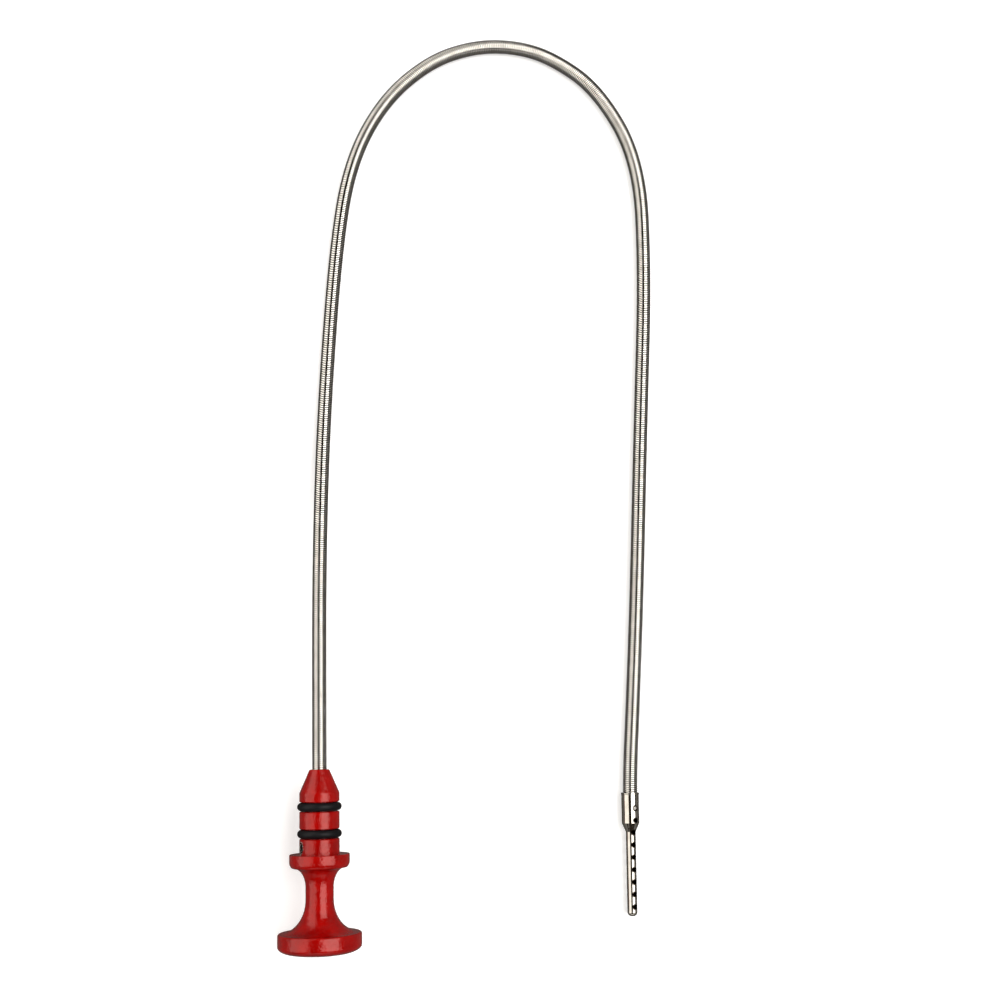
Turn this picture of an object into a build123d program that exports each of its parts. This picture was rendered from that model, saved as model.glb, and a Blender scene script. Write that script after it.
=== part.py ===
"""Flexible dipstick: a painted pull handle with two O-rings, a spring-wound cable and a
perforated measuring tip.

The frame's origin is the centre of the flange's seat face, on the handle's axis. +Y runs along that
axis towards the nose, +Z is up, and the dipstick lies on a flat surface below the axis by the
knob's radius. The cable leaves the nose, sinks to the surface, turns back in a wide bend, and ends
in the tip, which lies beside the handle.
"""

import os
from math import cos, pi, radians, sin, tan

from build123d import *

# Handle, turned about the Y axis (Y = 0 is the seat face of the flange)
knob_radius = 11.94
flange_radius = 8.6
barrel_radius = 5.73
nose_radius = 2.85
waist_radius = 4.0
barrel_end_y = 17.15
nose_end_y = 23.7
seat_edge = 0.2
flange_side_y = -2.05
flange_back_y = -3.8
flange_back_radius = 7.5
waist_start_y = -9.2
waist_end_y = -12.55
flare_radius = 11.35
flare_end_y = -21.65
knob_edge = 0.59
knob_side_y = -25.1
knob_end_y = -27.1
knob_end_radius = 7.7

# O-rings and their grooves in the barrel
ring_section = 2.35
groove_radius = 4.0
groove_width = 2.7
groove_edge = 0.22
upper_ring_y = 13.26
lower_ring_y = 5.69
ring_slack = 0.01

# Blind bore for the cable, and the set screw in the barrel's upper left side
bore_radius = 2.29
bore_floor_y = -2.1
bore_edge = 0.15
screw_y = 1.95
screw_rise = 24.0
screw_radius = 1.5
screw_slack = 0.02
screw_length = 3.0
screw_socket_width = 1.5
screw_socket_depth = 1.4
screw_chamfer = 0.3
screw_mouth_radius = 1.75
screw_mouth_depth = 0.3

# Cable: a close-wound spring around a stranded core
sheath_radius = 2.19
wire_diameter = 0.58
core_radius = 1.4
sheath_inner_radius = sheath_radius - wire_diameter

# Measuring tip, turned about its own axis, measured from the mouth of its socket
lip_radius = 2.66
lip_length = 0.5
lip_edge = 0.12
socket_radius = 2.55
socket_length = 8.7
socket_bore_radius = 2.24
socket_bore_depth = 6.2
cone_end = 11.2
rod_radius = 1.44
rod_end_round = 1.2
tip_length = 35.1
tip_lean = 0.95
hole_radius = 0.65
hole_pitch = 3.5
hole_count = 8
hole_turn = 30.0
pin_place = 4.38
pin_radius = 0.6
pin_slack = 0.01
pin_recess = 0.12
pin_dome = 0.15
countersink_radius = 0.9
countersink_depth = 0.4

# Where things lie
surface_z = -knob_radius
cable_z = surface_z + sheath_radius
tip_z = surface_z + lip_radius
tip_mouth = Vector(90.07, 14.65, tip_z)

# Axes of the tip: along it, across it in plan, and along its cross holes
lean = radians(tip_lean)
tip_along = Vector(-sin(lean), -cos(lean), 0)
tip_across = Vector(cos(lean), -sin(lean), 0)
turn = radians(hole_turn)
hole_axis = Vector(0, 0, cos(turn)) + tip_across * sin(turn)
cable_end = tip_mouth + tip_along * socket_bore_depth
socket_lead = tip_mouth - tip_along * 4.0

# The cable's route, from the floor of the handle's bore to the floor of the tip's socket
route = [
    (0, bore_floor_y, 0),
    (0, 42, 0),
    (-0.4, 88, -4.4),
    (0.55, 134, cable_z),
    (4.4, 185, cable_z),
    (9.15, 212.6, cable_z),
    (19.6, 232.7, cable_z),
    (34.4, 245.7, cable_z),
    (48.5, 250.5, cable_z),
    (61.1, 250.5, cable_z),
    (73.2, 246.7, cable_z),
    (88.2, 235.2, cable_z),
    (100.5, 210.8, cable_z),
    (100.9, 173.7, cable_z),
    (97.4, 122, cable_z),
    (94.35, 72, cable_z),
    (91.75, 37.5, cable_z),
    socket_lead,
    cable_end,
]


def bend_radii(points):
    """Radius at each inner point: 0.45 of the shorter run over the tangent of half the turn."""
    radii = []
    for before, here, after in zip(points, points[1:], points[2:]):
        run_in = Vector(here) - Vector(before)
        run_out = Vector(after) - Vector(here)
        half_turn = radians(run_in.get_angle(run_out)) / 2
        radii.append(0.45 * min(run_in.length, run_out.length) / tan(half_turn))
    return radii


def groove_outline(ring_y):
    """Half section of one O-ring groove with broken edges, as points of a closed outline."""
    half = groove_width / 2
    return [
        (groove_radius, ring_y - half),
        (barrel_radius - groove_edge, ring_y - half),
        (barrel_radius, ring_y - half - groove_edge),
        (barrel_radius + 1, ring_y - half - groove_edge),
        (barrel_radius + 1, ring_y + half + groove_edge),
        (barrel_radius, ring_y + half + groove_edge),
        (barrel_radius - groove_edge, ring_y + half),
        (groove_radius, ring_y + half),
    ]


def ring_profile(ring_y):
    """Round section of an O-ring that sits on its groove's floor."""
    centre_radius = groove_radius + ring_slack + ring_section / 2
    with BuildSketch(Plane.XY) as profile:
        with Locations((centre_radius, ring_y)):
            Circle(ring_section / 2)
    return profile.sketch


# The set screw's axis points out of the barrel, to the left and up
rise = radians(screw_rise)
screw_axis = Vector(-cos(rise), 0, sin(rise))
screw_centre = Vector(0, screw_y, 0)

# Handle: one turned outline, then grooves, cable bore and screw hole
with BuildPart() as handle:
    with BuildSketch(Plane.XY):
        with BuildLine():
            Polyline(
                (0, knob_end_y),
                (0, nose_end_y),
                (nose_radius, nose_end_y),
                (barrel_radius, barrel_end_y),
                (barrel_radius, 0),
                (flange_radius - seat_edge, 0),
            )
            RadiusArc((flange_radius - seat_edge, 0), (flange_radius, -seat_edge), seat_edge)
            Line((flange_radius, -seat_edge), (flange_radius, flange_side_y))
            EllipticalCenterArc(
                (flange_back_radius, flange_side_y),
                flange_radius - flange_back_radius,
                flange_side_y - flange_back_y,
                start_angle=270,
                arc_size=90,
            )
            EllipticalCenterArc(
                (flange_back_radius, waist_start_y),
                flange_back_radius - waist_radius,
                flange_back_y - waist_start_y,
                start_angle=90,
                arc_size=90,
            )
            Line((waist_radius, waist_start_y), (waist_radius, waist_end_y))
            EllipticalCenterArc(
                (flare_radius, waist_end_y),
                flare_radius - waist_radius,
                waist_end_y - flare_end_y,
                start_angle=180,
                arc_size=90,
            )
            RadiusArc((flare_radius, flare_end_y), (knob_radius, flare_end_y - knob_edge), knob_edge)
            Line((knob_radius, flare_end_y - knob_edge), (knob_radius, knob_side_y))
            EllipticalCenterArc(
                (knob_end_radius, knob_side_y),
                knob_radius - knob_end_radius,
                knob_side_y - knob_end_y,
                start_angle=270,
                arc_size=90,
            )
            Line((knob_end_radius, knob_end_y), (0, knob_end_y))
        make_face()
    revolve(axis=Axis.Y)
    for ring_y in (upper_ring_y, lower_ring_y):
        with BuildSketch(Plane.XY):
            with BuildLine():
                Polyline(*groove_outline(ring_y), close=True)
            make_face()
        revolve(axis=Axis.Y, mode=Mode.SUBTRACT)
    with BuildSketch(Plane.XY):
        with BuildLine():
            Polyline(
                (0, bore_floor_y),
                (bore_radius, bore_floor_y),
                (bore_radius, nose_end_y - bore_edge),
                (bore_radius + bore_edge, nose_end_y),
                (0, nose_end_y),
                close=True,
            )
        make_face()
    revolve(axis=Axis.Y, mode=Mode.SUBTRACT)
    with BuildSketch(Plane(origin=screw_centre, z_dir=screw_axis)):
        Circle(screw_radius)
    extrude(amount=barrel_radius + 1, mode=Mode.SUBTRACT)
    mouth_floor = screw_centre + screw_axis * (barrel_radius - screw_mouth_depth)
    with BuildSketch(Plane(origin=mouth_floor, z_dir=screw_axis)):
        Circle(screw_mouth_radius)
    extrude(amount=1, mode=Mode.SUBTRACT)

# O-rings
with BuildPart() as upper_o_ring:
    add(ring_profile(upper_ring_y))
    revolve(axis=Axis.Y)

with BuildPart() as lower_o_ring:
    add(ring_profile(lower_ring_y))
    revolve(axis=Axis.Y)

# Set screw: it presses on the sheath's side, and its hexagon socket faces out of the barrel
screw_tip = screw_centre + screw_axis * sheath_radius
screw_head = screw_tip + screw_axis * screw_length
with BuildPart() as handle_set_screw:
    with BuildSketch(Plane(origin=screw_tip, z_dir=screw_axis)):
        Circle(screw_radius - screw_slack)
    extrude(amount=screw_length)
    chamfer(handle_set_screw.edges().filter_by(GeomType.CIRCLE), length=screw_chamfer)
    with BuildSketch(Plane(origin=screw_head, z_dir=-screw_axis)):
        RegularPolygon(screw_socket_width / 2, 6, major_radius=False)
    extrude(amount=screw_socket_depth, mode=Mode.SUBTRACT)

# Cable: one path for the sheath and for the core, crossed near its end by the pin
radii = bend_radii(route)
with BuildLine() as cable_path:
    FilletPolyline(*route, radius=radii)
cable_wire = cable_path.wire()
path_length = cable_wire.length
start_plane = Plane(origin=route[0], z_dir=(0, 1, 0))
pin_centre = tip_mouth + tip_along * pin_place
pin_plane = Plane(origin=pin_centre, z_dir=hole_axis)

with BuildPart() as spring_sheath:
    with BuildSketch(start_plane):
        Circle(sheath_radius)
        Circle(sheath_inner_radius, mode=Mode.SUBTRACT)
    sweep(path=cable_wire)
    sheath_volume = spring_sheath.part.volume
    with BuildSketch(pin_plane):
        Circle(pin_radius)
    extrude(amount=socket_radius, both=True, mode=Mode.SUBTRACT)

with BuildPart() as core_cable:
    with BuildSketch(start_plane):
        Circle(core_radius)
    sweep(path=cable_wire)
    core_volume = core_cable.part.volume
    with BuildSketch(pin_plane):
        Circle(pin_radius)
    extrude(amount=socket_radius, both=True, mode=Mode.SUBTRACT)

# Measuring tip: socket, cone and rod in one, in the half plane beside its axis
tip_plane = Plane(origin=tip_mouth, x_dir=tip_across, z_dir=(0, 0, -1))
tip_axis = Axis(origin=tip_mouth, direction=tip_along)
with BuildPart() as measuring_tip:
    with BuildSketch(tip_plane):
        with BuildLine():
            Polyline(
                (0, tip_length),
                (0, socket_bore_depth),
                (socket_bore_radius, socket_bore_depth),
                (socket_bore_radius, 0),
                (lip_radius - lip_edge, 0),
                (lip_radius, lip_edge),
                (lip_radius, lip_length - lip_edge),
                (socket_radius, lip_length),
                (socket_radius, socket_length),
                (rod_radius, cone_end),
                (rod_radius, tip_length - rod_end_round),
            )
            RadiusArc(
                (rod_radius, tip_length - rod_end_round),
                (rod_radius - rod_end_round, tip_length),
                -rod_end_round,
            )
            Line((rod_radius - rod_end_round, tip_length), (0, tip_length))
        make_face()
    revolve(axis=tip_axis)
    for number in range(1, hole_count + 1):
        hole_centre = tip_mouth + tip_along * (pin_place + hole_pitch * number)
        with BuildSketch(Plane(origin=hole_centre, z_dir=hole_axis)):
            Circle(hole_radius)
        extrude(amount=socket_radius + 1, both=True, mode=Mode.SUBTRACT)
    with BuildSketch(pin_plane):
        Circle(pin_radius + pin_slack)
    extrude(amount=socket_radius + 1, both=True, mode=Mode.SUBTRACT)
    for side in (1, -1):
        sink_axis = hole_axis * side
        sink_plane = Plane(origin=pin_centre + sink_axis * socket_radius, z_dir=-sink_axis)
        with BuildSketch(sink_plane):
            Circle(countersink_radius)
        extrude(amount=countersink_depth, taper=40, mode=Mode.SUBTRACT)

# Cross pin through socket, sheath and core, with domed ends just below the socket's surface
pin_half = socket_radius - pin_recess
with BuildPart() as tip_pin:
    with BuildSketch(pin_plane.offset(-pin_half)):
        Circle(pin_radius - pin_slack)
    extrude(amount=2 * pin_half)
    chamfer(tip_pin.edges().filter_by(GeomType.CIRCLE), length=pin_dome)

nodes = {
    "handle": handle,
    "upper_o_ring": upper_o_ring,
    "lower_o_ring": lower_o_ring,
    "handle_set_screw": handle_set_screw,
    "spring_sheath": spring_sheath,
    "core_cable": core_cable,
    "measuring_tip": measuring_tip,
    "tip_pin": tip_pin,
}
os.makedirs("parts", exist_ok=True)
for name, node in nodes.items():
    node.part.label = name
    export_step(node.part, f"parts/{name}.step")

print("bend radii, mm:", [round(radius, 1) for radius in radii])
print("cable length, mm:", round(path_length, 1))
sheath_swept = pi * (sheath_radius**2 - sheath_inner_radius**2) * path_length
core_swept = pi * core_radius**2 * path_length
print("sheath volume and section x length, mm3:", round(sheath_volume, 1), round(sheath_swept, 1))
print("core volume and section x length, mm3:", round(core_volume, 1), round(core_swept, 1))
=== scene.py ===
"""Looks of the flexible dipstick: camera, light, the wound cable and every surface's material."""

import math

import bpy
from mathutils import Matrix, Vector


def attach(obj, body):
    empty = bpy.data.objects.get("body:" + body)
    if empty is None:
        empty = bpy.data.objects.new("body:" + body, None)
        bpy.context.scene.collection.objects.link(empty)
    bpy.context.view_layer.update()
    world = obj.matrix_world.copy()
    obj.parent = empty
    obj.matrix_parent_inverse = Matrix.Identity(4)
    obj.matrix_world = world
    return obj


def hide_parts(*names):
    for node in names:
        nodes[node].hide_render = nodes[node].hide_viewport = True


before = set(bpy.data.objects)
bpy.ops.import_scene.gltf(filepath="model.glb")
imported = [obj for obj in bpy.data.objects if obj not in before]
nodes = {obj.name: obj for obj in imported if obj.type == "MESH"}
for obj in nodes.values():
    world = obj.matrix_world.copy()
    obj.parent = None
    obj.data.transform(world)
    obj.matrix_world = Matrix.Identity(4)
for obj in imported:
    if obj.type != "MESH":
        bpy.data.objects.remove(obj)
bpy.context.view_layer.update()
scene = bpy.context.scene

SURFACE_Z = -0.01194

# The cable's route: the same points as the CAD tube's, in metres
ROUTE = [
    (0, -0.0021, 0),
    (0, 0.042, 0),
    (-0.0004, 0.088, -0.0044),
    (0.00055, 0.134, -0.00975),
    (0.0044, 0.185, -0.00975),
    (0.00915, 0.2126, -0.00975),
    (0.0196, 0.2327, -0.00975),
    (0.0344, 0.2457, -0.00975),
    (0.0485, 0.2505, -0.00975),
    (0.0611, 0.2505, -0.00975),
    (0.0732, 0.2467, -0.00975),
    (0.0882, 0.2352, -0.00975),
    (0.1005, 0.2108, -0.00975),
    (0.1009, 0.1737, -0.00975),
    (0.0974, 0.122, -0.00975),
    (0.09435, 0.072, -0.00975),
    (0.09175, 0.0375, -0.00975),
    (0.09014, 0.01865, -0.00928),
    (0.08997, 0.00845, -0.00928),
]
CABLE_RADIUS = 0.00219
WIRE_RADIUS = 0.00029
WIRE_PITCH = 0.000583
CORE_RADIUS = 0.0014

# The set screw's axis, and the row that the pin and the tip's holes are in
SCREW_CENTRE = (0, 0.00195, 0)
SCREW_AXIS = (-0.91355, 0, 0.40674)
PIN_CENTRE = (0.09, 0.01027, -0.00928)
TIP_ALONG = (-0.01658, -0.99986, 0)
HOLE_SIDE = (0.86591, -0.01436, -0.5)
HOLE_PITCH = 0.0035

# The paint's chips: where their edge fades, by distance from the screw's axis, and how ragged it is
CHIP_EDGE = (0.0019, 0.0021)
CHIP_RAGGED = 0.0012
# The painted shade round the pin and in the holes, by distance from their axes
HOLE_SHADE_EDGE = (0.00072, 0.00098)
HOLE_SHADE_RAGGED = 0.0002

METAL_TINT = (0.2, 0.18, 0.16, 1)
GRAIN_DEPTH = 0.000008

CAMERA_PLACE = (0.05246, 0.03347, 0.41079)
CAMERA_LOOK = (0.00381, 0.16227, -0.98674)
CAMERA_UP = (0.02316, 0.98647, 0.16232)
CAMERA_LENS = 50.35

# What the eye sees of the stage, and what reflections see of it
FLOOR_SEEN = (0.9, 0.9, 0.9)
FLOOR_GLOW = 0.34
FLOOR_REFLECTED = (0.13, 0.127, 0.123)
FLOOR_HALF_SIZE = 0.9
WORLD_SEEN = (1, 1, 1)
WALLS_REFLECTED = (0.3, 0.3, 0.3, 1)
CEILING_REFLECTED = (0.035, 0.027, 0.02, 1)

# The sockets of a Mix node that mixes colours
MIX_FACTOR = 0
MIX_FIRST = 6
MIX_SECOND = 7
MIX_RESULT = 2


def make_camera():
    """A camera above the dipstick, tilted a little towards the bottom of its picture."""
    data = bpy.data.cameras.new("camera")
    data.sensor_width = 36
    data.lens = CAMERA_LENS
    camera = bpy.data.objects.new("camera", data)
    look = Vector(CAMERA_LOOK).normalized()
    right = look.cross(Vector(CAMERA_UP)).normalized()
    up = right.cross(look)
    turn = Matrix((right, up, -look)).transposed().to_4x4()
    camera.matrix_world = Matrix.Translation(CAMERA_PLACE) @ turn
    scene.collection.objects.link(camera)
    scene.camera = camera


def add_light(name, width, length, radiance, place, turn, colour=(1, 1, 1)):
    """A flat rectangular light with one radiance all over its face."""
    data = bpy.data.lights.new(name, "AREA")
    data.shape = "RECTANGLE"
    data.size = width
    data.size_y = length
    data.energy = radiance * math.pi * width * length
    data.color = colour
    light = bpy.data.objects.new(name, data)
    light.location = place
    light.rotation_euler = turn
    scene.collection.objects.link(light)


def make_softbox(name, angle, half_angle, low_y, high_y, radiance, colour):
    """A softbox 1 m from the handle, that spans an angle across Y and a stretch along Y."""
    width = 2 * math.tan(math.radians(half_angle))
    turn = math.radians(angle)
    place = (math.sin(turn), (low_y + high_y) / 2, math.cos(turn))
    add_light(name, width, high_y - low_y, radiance, place, (0, turn, 0), colour)


def make_back_softbox():
    """A weak low softbox behind the knob, which lights its end for the views from the back."""
    add_light("softbox_back", 1.2, 0.5, 0.9, (0.05, -1.1, 0.4), (math.radians(70), 0, 0))


def feed(tree, value, socket):
    """Links a socket in, or sets a fixed value."""
    if isinstance(value, bpy.types.NodeSocket):
        tree.links.new(value, socket)
    else:
        socket.default_value = value


def mix_colours(tree, factor, first, second, blend="MIX"):
    """The first colour at factor 0 and the second at 1; each is a socket or a fixed colour."""
    node = tree.nodes.new("ShaderNodeMix")
    node.data_type = "RGBA"
    node.blend_type = blend
    feed(tree, factor, node.inputs[MIX_FACTOR])
    for index, colour in ((MIX_FIRST, first), (MIX_SECOND, second)):
        feed(tree, (*colour, 1) if isinstance(colour, tuple) else colour, node.inputs[index])
    return node.outputs[MIX_RESULT]


def make_world():
    """A white surround to the eye; in reflections, pale walls and a dim warm ceiling above them."""
    world = bpy.data.worlds.new("studio")
    scene.world = world
    world.use_nodes = True
    tree = world.node_tree
    tree.nodes.clear()
    coords = tree.nodes.new("ShaderNodeTexCoord")
    split = tree.nodes.new("ShaderNodeSeparateXYZ")
    ramp = tree.nodes.new("ShaderNodeValToRGB")
    background = tree.nodes.new("ShaderNodeBackground")
    output = tree.nodes.new("ShaderNodeOutputWorld")
    stops = ramp.color_ramp.elements
    stops[0].position = 0.05
    stops[0].color = WALLS_REFLECTED
    stops[1].position = 0.35
    stops[1].color = CEILING_REFLECTED
    tree.links.new(coords.outputs["Generated"], split.inputs[0])
    tree.links.new(split.outputs["Z"], ramp.inputs[0])
    seen = tree.nodes.new("ShaderNodeLightPath").outputs["Is Camera Ray"]
    tone = mix_colours(tree, seen, ramp.outputs[0], WORLD_SEEN)
    tree.links.new(tone, background.inputs["Color"])
    tree.links.new(background.outputs[0], output.inputs[0])


def make_floor():
    """A plain pale floor under the dipstick, which is dimmer in reflections than to the eye."""
    mesh = bpy.data.meshes.new("floor")
    far = FLOOR_HALF_SIZE
    corners = [(-far, -far, 0), (far, -far, 0), (far, far, 0), (-far, far, 0)]
    mesh.from_pydata(corners, [], [(0, 1, 2, 3)])
    floor = bpy.data.objects.new("floor", mesh)
    floor.location.z = SURFACE_Z
    scene.collection.objects.link(floor)
    material = bpy.data.materials.new("floor_white")
    material.use_nodes = True
    tree = material.node_tree
    shader = tree.nodes["Principled BSDF"]
    seen = tree.nodes.new("ShaderNodeLightPath").outputs["Is Camera Ray"]
    tone = mix_colours(tree, seen, FLOOR_REFLECTED, FLOOR_SEEN)
    tree.links.new(tone, shader.inputs["Base Color"])
    glow = tree.nodes.new("ShaderNodeMath")
    glow.operation = "MULTIPLY"
    glow.inputs[1].default_value = FLOOR_GLOW
    tree.links.new(seen, glow.inputs[0])
    tree.links.new(glow.outputs[0], shader.inputs["Emission Strength"])
    shader.inputs["Emission Color"].default_value = (1, 1, 1, 1)
    shader.inputs["Roughness"].default_value = 0.7
    shader.inputs["Specular IOR Level"].default_value = 0.0
    mesh.materials.append(material)


class Surface:
    """A node material with a Principled shader and a few helpers to wire textures into it."""

    def __init__(self, name):
        self.material = bpy.data.materials.new(name)
        self.material.use_nodes = True
        self.tree = self.material.node_tree
        self.shader = self.tree.nodes["Principled BSDF"]
        coords = self.tree.nodes.new("ShaderNodeTexCoord")
        self.place = coords.outputs["Object"]

    def attribute(self, name):
        """The number that a mesh attribute gives at each point."""
        node = self.tree.nodes.new("ShaderNodeAttribute")
        node.attribute_name = name
        return node.outputs["Fac"]

    def set(self, **values):
        """Fixed values for the shader's sockets, with _ for the spaces in their names."""
        for name, value in values.items():
            self.shader.inputs[name.replace("_", " ")].default_value = value

    def link(self, source, socket):
        """A link to the shader's socket of this name."""
        self.tree.links.new(source, self.shader.inputs[socket])

    def stretched(self, scale):
        """Object coordinates times a scale for each axis."""
        mapping = self.tree.nodes.new("ShaderNodeMapping")
        mapping.inputs["Scale"].default_value = scale
        self.tree.links.new(self.place, mapping.inputs["Vector"])
        return mapping.outputs[0]

    def noise(self, scale, detail, place=None):
        """A noise from 0 to 1, over the object's own coordinates unless a place is given."""
        node = self.tree.nodes.new("ShaderNodeTexNoise")
        node.inputs["Scale"].default_value = scale
        node.inputs["Detail"].default_value = detail
        self.tree.links.new(place or self.place, node.inputs["Vector"])
        return node.outputs["Fac"]

    def vector(self, operation, *values):
        """A vector math node on sockets and fixed vectors."""
        node = self.tree.nodes.new("ShaderNodeVectorMath")
        node.operation = operation
        for socket, value in zip(node.inputs, values):
            feed(self.tree, value, socket)
        return node.outputs["Value" if operation in ("DOT_PRODUCT", "LENGTH") else "Vector"]

    def math(self, operation, *values):
        """A math node on sockets and fixed numbers."""
        node = self.tree.nodes.new("ShaderNodeMath")
        node.operation = operation
        for socket, value in zip(node.inputs, values):
            feed(self.tree, value, socket)
        return node.outputs[0]

    def fade(self, value, start, end):
        """0 up to start, 1 from end on."""
        node = self.tree.nodes.new("ShaderNodeMapRange")
        node.inputs["From Min"].default_value = start
        node.inputs["From Max"].default_value = end
        self.tree.links.new(value, node.inputs["Value"])
        return node.outputs[0]

    def ramp(self, factor, stops):
        """A colour ramp through (position, colour) stops."""
        node = self.tree.nodes.new("ShaderNodeValToRGB")
        elements = node.color_ramp.elements
        while len(elements) < len(stops):
            elements.new(0.5)
        for element, (position, colour) in zip(elements, stops):
            element.position = position
            element.color = (*colour, 1)
        self.tree.links.new(factor, node.inputs[0])
        return node.outputs[0]

    def span(self, factor, low, high):
        """The factor's 0 to 1 mapped to low to high."""
        node = self.tree.nodes.new("ShaderNodeMapRange")
        node.inputs["To Min"].default_value = low
        node.inputs["To Max"].default_value = high
        self.tree.links.new(factor, node.inputs["Value"])
        return node.outputs[0]

    def bump(self, height, distance, strength=1.0, under=None):
        """A normal bumped by a height, on top of another bump if there is one."""
        node = self.tree.nodes.new("ShaderNodeBump")
        node.inputs["Distance"].default_value = distance
        node.inputs["Strength"].default_value = strength
        self.tree.links.new(height, node.inputs["Height"])
        if under:
            self.tree.links.new(under, node.inputs["Normal"])
        return node.outputs[0]

    def tones(self, scale, dark, bright, detail=4, bright_from=0.7):
        """A colour that varies unevenly between two tones."""
        return self.ramp(self.noise(scale, detail), [(0.3, dark), (bright_from, bright)])

    def gloss(self, scale, low, high, detail=3):
        """A roughness that varies unevenly between two values."""
        self.link(self.span(self.noise(scale, detail), low, high), "Roughness")

    def grain(self, scale, strength):
        """Fine bumps, with a scale for each axis."""
        lines = self.noise(1, 2, self.stretched(scale))
        self.link(self.bump(lines, GRAIN_DEPTH, strength), "Normal")


def red_paint():
    """Glossy red coating with orange peel, chipped to dark and pale metal round the set screw."""
    look = Surface("red_paint")
    paint = look.tones(260, (0.24, 0.0006, 0.0004), (0.36, 0.002, 0.0012))
    metal = look.ramp(look.noise(2600, 2), [(0.5, (0.012, 0.01, 0.008)), (0.62, (0.7, 0.66, 0.6))])
    from_screw = look.vector("SUBTRACT", look.place, SCREW_CENTRE)
    across = look.vector("LENGTH", look.vector("CROSS_PRODUCT", from_screw, SCREW_AXIS))
    unevenness = look.span(look.noise(1400, 3), -CHIP_RAGGED, CHIP_RAGGED)
    far = look.fade(look.math("ADD", across, unevenness), *CHIP_EDGE)
    on_other_side = look.math("LESS_THAN", look.vector("DOT_PRODUCT", from_screw, SCREW_AXIS), 0)
    whole = look.math("MAXIMUM", far, on_other_side)
    look.link(mix_colours(look.tree, whole, metal, paint), "Base Color")
    look.gloss(700, 0.05, 0.22, detail=4)
    peel = look.bump(look.noise(2200, 2), 0.00005)
    look.link(look.bump(look.noise(800, 3), 0.00013, under=peel), "Normal")
    look.set(IOR=1.45, Specular_IOR_Level=0.75, Specular_Tint=(1, 0.52, 0.48, 1))
    return look.material


def ring_rubber():
    """Black rubber, a little oily."""
    look = Surface("ring_rubber")
    tone = look.tones(1200, (0.003, 0.003, 0.0035), (0.007, 0.007, 0.008), bright_from=0.75)
    look.link(tone, "Base Color")
    look.gloss(700, 0.35, 0.55)
    look.link(look.bump(look.noise(3500, 2), 0.00001, 0.4), "Normal")
    look.set(Specular_IOR_Level=0.15)
    return look.material


def steel(name, dark, bright, rough_low, rough_high, grain_scale, grain):
    """Bright steel with a grain, slightly uneven in tone and gloss."""
    look = Surface(name)
    look.link(look.tones(420, dark, bright), "Base Color")
    look.gloss(900, rough_low, rough_high)
    look.grain(grain_scale, grain)
    look.set(Metallic=1.0, Specular_Tint=METAL_TINT)
    return look.material


def wound_wire():
    """Bright wire with painted shade between its turns."""
    look = Surface("spring_wire")
    unshaded_tone = look.tones(420, (0.72, 0.69, 0.63), (0.94, 0.91, 0.85))
    # Painted shade: the wire darkens from its crest towards the next turn, and is near black on its
    # inner half
    turn_shade_tone = look.ramp(look.attribute("painted_turn_shade"), [(0.35, (1, 1, 1)), (0.85, (0.04, 0.03, 0.025))])
    look.link(mix_colours(look.tree, 1.0, unshaded_tone, turn_shade_tone, "MULTIPLY"), "Base Color")
    look.gloss(900, 0.03, 0.1)
    look.set(Metallic=1.0, Specular_Tint=METAL_TINT)
    return look.material


def tip_steel():
    """Polished steel, turned round the tip's axis, with painted shade round the pin and in the
    holes.
    """
    look = Surface("tip_steel")
    unshaded_tone = look.tones(420, (0.44, 0.41, 0.36), (0.6, 0.57, 0.51))
    from_pin = look.vector("SUBTRACT", look.place, PIN_CENTRE)
    along = look.vector("DOT_PRODUCT", from_pin, TIP_ALONG)
    across = look.vector("DOT_PRODUCT", from_pin, HOLE_SIDE)
    from_hole = look.math("WRAP", along, HOLE_PITCH / 2, -HOLE_PITCH / 2)
    along_square = look.math("MULTIPLY", from_hole, from_hole)
    across_square = look.math("MULTIPLY", across, across)
    distance = look.math("SQRT", look.math("ADD", along_square, across_square))
    unevenness = look.span(look.noise(2400, 2), -HOLE_SHADE_RAGGED, HOLE_SHADE_RAGGED)
    far = look.fade(look.math("ADD", distance, unevenness), *HOLE_SHADE_EDGE)
    before_pin = look.math("LESS_THAN", along, -HOLE_PITCH / 2)
    bright = look.math("MAXIMUM", far, before_pin)
    # Painted shade: near black round the pin and in each hole of its row, from the pin on
    look.link(mix_colours(look.tree, bright, (0.02, 0.014, 0.01), unshaded_tone), "Base Color")
    look.gloss(900, 0.03, 0.1)
    look.grain((900, 9000, 900), 0.4)
    look.set(Metallic=1.0, Specular_Tint=METAL_TINT)
    return look.material


def black_oxide():
    """Dark steel of the set screw."""
    look = Surface("screw_steel")
    look.link(look.tones(1500, (0.02, 0.02, 0.02), (0.07, 0.065, 0.06), detail=3), "Base Color")
    look.gloss(2500, 0.35, 0.55, detail=2)
    look.set(Metallic=0.8)
    return look.material


def route_line():
    """Points along the route's smooth line, close together."""
    curve = bpy.data.curves.new("route", "CURVE")
    curve.dimensions = "3D"
    spline = curve.splines.new("NURBS")
    spline.points.add(len(ROUTE) - 1)
    for point, place in zip(spline.points, ROUTE):
        point.co = (*place, 1)
    spline.order_u = 3
    spline.use_endpoint_u = True
    spline.resolution_u = 48
    holder = bpy.data.objects.new("route", curve)
    scene.collection.objects.link(holder)
    bpy.context.view_layer.update()
    depsgraph = bpy.context.evaluated_depsgraph_get()
    mesh = bpy.data.meshes.new_from_object(holder.evaluated_get(depsgraph))
    points = [vertex.co.copy() for vertex in mesh.vertices]
    bpy.data.objects.remove(holder)
    return points


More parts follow.
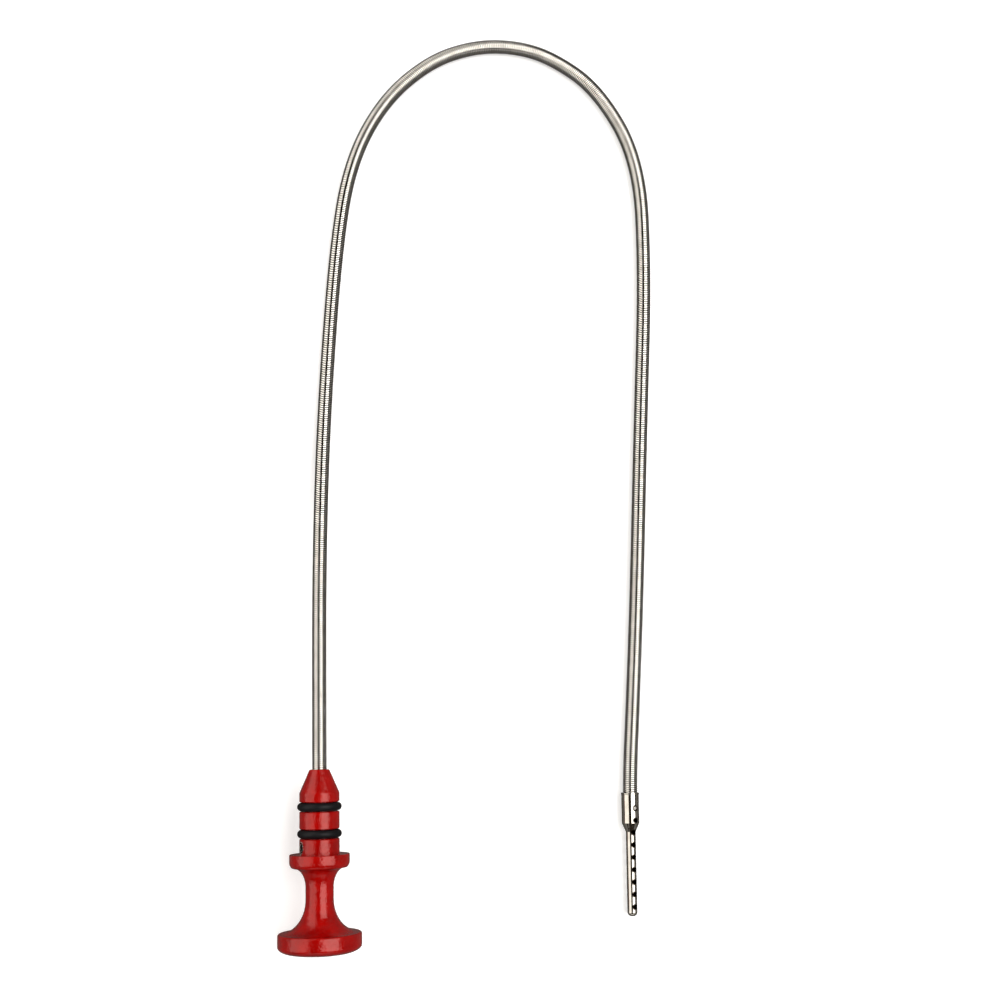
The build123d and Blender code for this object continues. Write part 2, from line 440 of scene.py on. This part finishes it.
class Line:
    """A polyline with its length, and a frame at any distance along it that doesn't twist."""

    def __init__(self, points):
        self.points = points
        self.distances = [0.0]
        for before, here in zip(points, points[1:]):
            self.distances.append(self.distances[-1] + (here - before).length)
        self.length = self.distances[-1]
        self.tangents = []
        for number in range(len(points)):
            before = points[max(number - 1, 0)]
            after = points[min(number + 1, len(points) - 1)]
            self.tangents.append((after - before).normalized())
        side = Vector((0, 0, 1))
        self.sides = []
        for tangent in self.tangents:
            side = (side - tangent * side.dot(tangent)).normalized()
            self.sides.append(side)
        self.span = 0

    def at(self, distance):
        """Point, tangent, side and up at a distance; quick when the distances asked for rise."""
        if distance < self.distances[self.span]:
            self.span = 0
        while self.span < len(self.points) - 2 and distance > self.distances[self.span + 1]:
            self.span += 1
        start = self.distances[self.span]
        share = (distance - start) / (self.distances[self.span + 1] - start)
        point = self.points[self.span].lerp(self.points[self.span + 1], share)
        tangent = self.tangents[self.span].lerp(self.tangents[self.span + 1], share).normalized()
        side = self.sides[self.span].lerp(self.sides[self.span + 1], share)
        side = (side - tangent * side.dot(tangent)).normalized()
        return point, tangent, side, tangent.cross(side)


def skin(rings):
    """Vertices and faces of a tube through rings of equally many points, with closed ends."""
    sides = len(rings[0])
    vertices = [point for ring in rings for point in ring]
    faces = []
    for number in range(len(rings) - 1):
        low = number * sides
        high = low + sides
        for corner in range(sides):
            after = (corner + 1) % sides
            faces.append((low + corner, low + after, high + after, high + corner))
    faces.append(tuple(range(sides - 1, -1, -1)))
    last = (len(rings) - 1) * sides
    faces.append(tuple(range(last, last + sides)))
    return vertices, faces


def make_piece(name, parts, material, painted_turn_shade=None):
    """One smooth object from several (vertices, faces) parts; the optional grime gives each vertex
    a share of painted shade.
    """
    vertices = []
    faces = []
    for part_vertices, part_faces in parts:
        start = len(vertices)
        vertices.extend(part_vertices)
        faces.extend(tuple(start + corner for corner in face) for face in part_faces)
    mesh = bpy.data.meshes.new(name)
    mesh.from_pydata(vertices, [], faces)
    if painted_turn_shade:
        mesh.attributes.new("painted_turn_shade", "FLOAT", "POINT").data.foreach_set("value", painted_turn_shade)
    mesh.validate()
    for polygon in mesh.polygons:
        polygon.use_smooth = True
    mesh.materials.append(material)
    piece = bpy.data.objects.new(name, mesh)
    scene.collection.objects.link(piece)
    return piece


def make_spring(line, material):
    """Close-wound wire round the route's line."""
    steps_per_turn = 15
    wire_sides = 7
    turns = int((line.length - 2 * WIRE_RADIUS) / WIRE_PITCH)
    winding_radius = CABLE_RADIUS - WIRE_RADIUS
    rings = []
    painted_turn_shade = []
    for step in range(turns * steps_per_turn + 1):
        angle = 2 * math.pi * step / steps_per_turn
        point, tangent, side, up = line.at(WIRE_RADIUS + WIRE_PITCH * step / steps_per_turn)
        outward = side * math.cos(angle) + up * math.sin(angle)
        centre = point + outward * winding_radius
        ring = []
        for corner in range(wire_sides):
            around = 2 * math.pi * corner / wire_sides
            direction = outward * math.cos(around) + tangent * math.sin(around)
            ring.append(centre + direction * WIRE_RADIUS)
            # Painted shade between the turns: none on the wire's crest, more towards its
            # neighbours, full on its inner half
            painted_turn_shade.append(abs(math.sin(around)) if math.cos(around) > 0 else 1.0)
        rings.append(ring)
    return make_piece("wound_spring", [skin(rings)], material, painted_turn_shade)


def make_core(line, material):
    """Seven strands, six laid round one, inside the spring."""
    outer_strands = 6
    strand_sides = 6
    strand_radius = CORE_RADIUS / 3
    lay_length = 0.018
    step_length = 0.0015
    count = int(line.length / step_length)
    strands = []
    for strand in range(outer_strands + 1):
        rings = []
        for step in range(count + 1):
            distance = line.length * step / count
            point, tangent, side, up = line.at(distance)
            angle = 2 * math.pi * (distance / lay_length + strand / outer_strands)
            offset = side * math.cos(angle) + up * math.sin(angle)
            centre = point + offset * (2 * strand_radius if strand < outer_strands else 0)
            ring = []
            for corner in range(strand_sides):
                around = 2 * math.pi * corner / strand_sides
                direction = side * math.cos(around) + up * math.sin(around)
                ring.append(centre + direction * strand_radius)
            rings.append(ring)
        strands.append(skin(rings))
    return make_piece("core_strands", strands, material)


def dress(node, material):
    """The CAD node's surface gets this material."""
    mesh = nodes[node].data
    mesh.materials.clear()
    mesh.materials.append(material)


make_camera()

# The cable
line = Line(route_line())
wire_steel = wound_wire()
spring = make_spring(line, wire_steel)
strand_steel = steel(
    "core_strand", (0.4, 0.38, 0.35), (0.6, 0.58, 0.54), 0.25, 0.4, (3000, 3000, 3000), 0.3
)
core = make_core(line, strand_steel)
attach(spring, "root")
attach(core, "root")
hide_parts("spring_sheath")
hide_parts("core_cable")

# The turned pieces
red = red_paint()
rubber = ring_rubber()
dress("handle", red)
dress("upper_o_ring", rubber)
dress("lower_o_ring", rubber)
dress("handle_set_screw", black_oxide())
dress("measuring_tip", tip_steel())
dress(
    "tip_pin",
    steel("pin_steel", (0.5, 0.48, 0.44), (0.68, 0.66, 0.62), 0.2, 0.35, (5000, 5000, 5000), 0.4),
)

# Stage and light
make_floor()
make_world()
make_softbox("softbox_right", 38, 24, -0.45, 0.85, 4.2, (1, 0.98, 0.97))
make_softbox("softbox_left", -51.5, 29.5, -0.58, 2.6, 1.9, (1, 0.97, 0.93))
make_back_softbox()
scene.view_settings.view_transform = "Standard"
